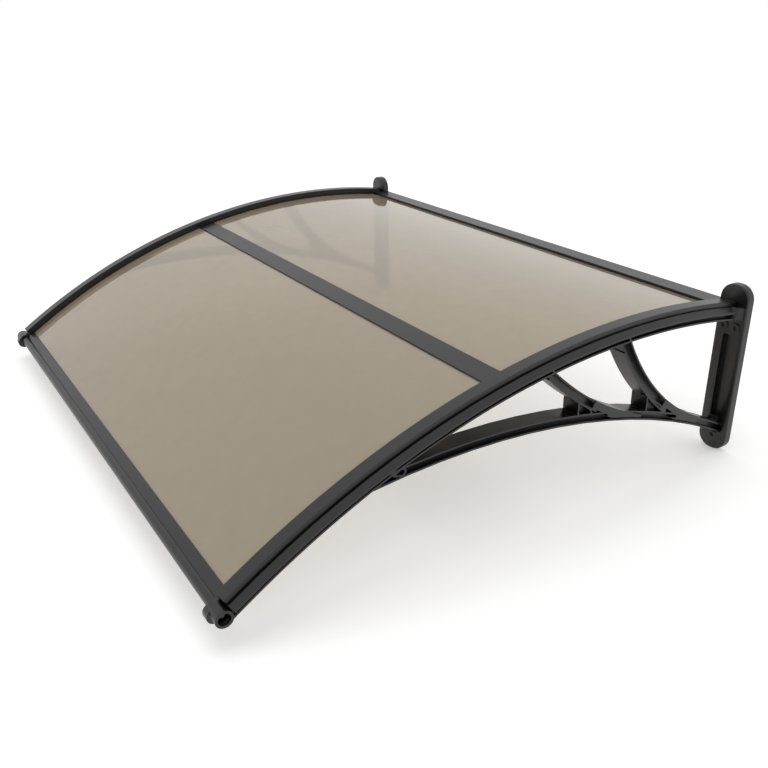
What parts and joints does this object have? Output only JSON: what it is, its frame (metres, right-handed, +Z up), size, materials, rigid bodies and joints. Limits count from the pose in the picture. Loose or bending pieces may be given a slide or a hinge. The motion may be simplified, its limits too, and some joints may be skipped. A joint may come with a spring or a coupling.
{
  "type": "door canopy",
  "caption": "Wall-mounted door canopy with bronze-tinted curved sheets, black moulded brackets and dark aluminium rails.",
  "frame": {"origin": "on the wall plane at mid-width, in the middle of the rear rail's back face", "axes": "+X along the wall to the right seen from the street, +Y into the wall, +Z up"},
  "size_m": [1, 0.804, 0.255],
  "materials": {
    "black_plastic": "moulded satin",
    "grey_aluminium": "dark grey powder coat",
    "bronze_sheet": "polished bronze tint",
    "black_rubber": "matte",
    "zinc_steel": "zinc plated"
  },
  "bodies": {
    "root": {"panel_rear": "bronze_sheet", "panel_front": "bronze_sheet", "rail_rear": "grey_aluminium", "rail_centre": "grey_aluminium", "rail_front": "grey_aluminium", "bracket_left": "black_plastic", "bracket_right": "black_plastic", "press_strip_left": "grey_aluminium", "press_strip_right": "grey_aluminium", "sealing_tape_left": "black_rubber", "sealing_tape_right": "black_rubber", "strip_screw_left_1": "zinc_steel", "strip_screw_left_2": "zinc_steel", "strip_screw_left_3": "zinc_steel", "strip_screw_left_4": "zinc_steel", "strip_screw_right_1": "zinc_steel", "strip_screw_right_2": "zinc_steel", "strip_screw_right_3": "zinc_steel", "strip_screw_right_4": "zinc_steel", "rail_screw_left": "zinc_steel", "rail_screw_right": "zinc_steel"}
  },
  "joints": []
}
